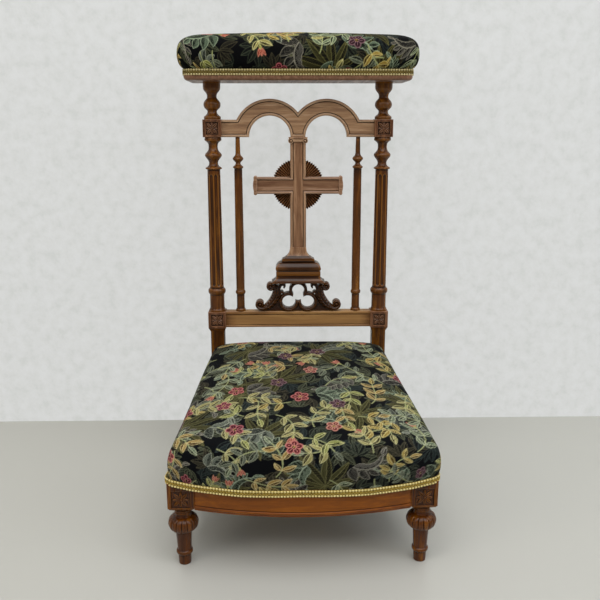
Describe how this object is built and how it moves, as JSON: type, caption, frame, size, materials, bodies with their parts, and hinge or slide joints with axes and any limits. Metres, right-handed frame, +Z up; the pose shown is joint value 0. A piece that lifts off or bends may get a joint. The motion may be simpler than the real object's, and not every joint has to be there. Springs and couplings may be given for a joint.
{
  "type": "church chair with kneeler",
  "caption": "Low upholstered kneeling chair in dark turned walnut, with a padded armrest on top of a tall open back that holds a carved cross.",
  "frame": {"origin": "centre of the overall bounding box, on the floor", "axes": "+X to the right of someone who kneels facing the back, +Y to the back, +Z up"},
  "size_m": [0.4728, 0.5357, 0.9201],
  "materials": {
    "walnut": "dark stained walnut, hand waxed",
    "beech": "raw sawn beech",
    "jute_webbing": "plain woven jute straps",
    "hessian": "open plain-weave jute",
    "horsehair": "curled hair stuffing",
    "tapestry": "woven wool verdure tapestry, leaves on a near-black ground",
    "braid": "olive-gold woven gimp with raised cream dots"
  },
  "bodies": {
    "root": {"front_leg_left": "walnut", "front_leg_right": "walnut", "rear_stile_left": "walnut", "rear_stile_right": "walnut", "front_seat_rail": "walnut", "rear_seat_rail": "walnut", "side_seat_rail_left": "walnut", "side_seat_rail_right": "walnut", "crest_rail": "walnut", "lower_back_rail": "walnut", "spindle_left": "walnut", "spindle_right": "walnut", "cross": "walnut", "halo_disc": "walnut", "splat_plinth": "walnut", "scroll_bracket": "walnut", "armrest_board": "walnut", "corner_brace_front_left": "beech", "corner_brace_front_right": "beech", "corner_brace_rear_left": "beech", "corner_brace_rear_right": "beech", "splat_dowels": "beech", "seat_webbing_lengthwise": "jute_webbing", "seat_webbing_crosswise": "jute_webbing", "seat_hessian": "hessian", "seat_stuffing": "horsehair", "armrest_stuffing": "horsehair", "seat_cover": "tapestry", "armrest_cover": "tapestry", "seat_gimp": "braid", "armrest_gimp": "braid"}
  },
  "joints": []
}
